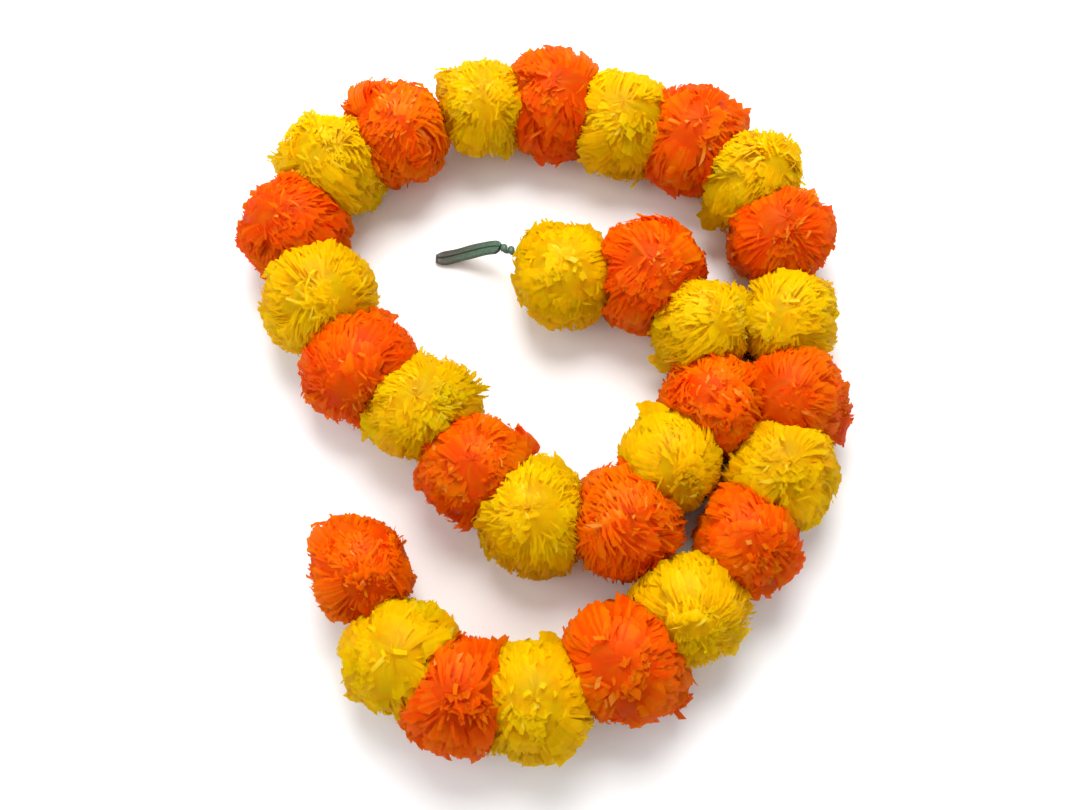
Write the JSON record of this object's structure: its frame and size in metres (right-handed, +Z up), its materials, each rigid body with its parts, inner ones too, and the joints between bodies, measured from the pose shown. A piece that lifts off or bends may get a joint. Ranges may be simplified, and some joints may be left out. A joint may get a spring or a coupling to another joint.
{
  "type": "artificial marigold garland",
  "caption": "Artificial marigold garland: yellow and orange film pompom blooms by turns on one cord, lying in an open curl, with a green ribbon loop at one end to hang it by.",
  "frame": {"origin": "on the table under the middle of the garland as it lies", "axes": "+Z up from the table, +Y along the longest side of the curl, from its open end at the bottom of the picture to the arch at the top"},
  "size_m": [0.3928, 0.4612, 0.0702],
  "materials": {
    "yellow_petal_film": "thin crinkled film, bright yellow, cut in strips, slightly glossy and translucent",
    "orange_petal_film": "thin crinkled film, bright orange, cut in strips, slightly glossy and translucent",
    "cord_thread": "twisted off-white thread, matte",
    "green_ribbon": "dark green ribbon with lengthwise creases, dull satin"
  },
  "bodies": {
    "root": {"bloom_01_yellow": "yellow_petal_film", "bloom_02_orange": "orange_petal_film", "bloom_03_yellow": "yellow_petal_film", "bloom_04_orange": "orange_petal_film", "bloom_05_yellow": "yellow_petal_film", "bloom_06_orange": "orange_petal_film", "bloom_07_yellow": "yellow_petal_film", "bloom_08_orange": "orange_petal_film", "bloom_09_yellow": "yellow_petal_film", "bloom_10_orange": "orange_petal_film", "bloom_11_yellow": "yellow_petal_film", "bloom_12_orange": "orange_petal_film", "bloom_13_yellow": "yellow_petal_film", "bloom_14_orange": "orange_petal_film", "bloom_15_yellow": "yellow_petal_film", "bloom_16_orange": "orange_petal_film", "bloom_17_yellow": "yellow_petal_film", "bloom_18_orange": "orange_petal_film", "bloom_19_yellow": "yellow_petal_film", "bloom_20_orange": "orange_petal_film", "bloom_21_yellow": "yellow_petal_film", "bloom_22_orange": "orange_petal_film", "bloom_23_yellow": "yellow_petal_film", "bloom_24_orange": "orange_petal_film", "bloom_25_yellow": "yellow_petal_film", "bloom_26_orange": "orange_petal_film", "bloom_27_yellow": "yellow_petal_film", "bloom_28_orange": "orange_petal_film", "bloom_29_yellow": "yellow_petal_film", "bloom_30_orange": "orange_petal_film", "cord": "cord_thread", "loop_knot": "green_ribbon", "hanging_loop": "green_ribbon"}
  },
  "joints": []
}
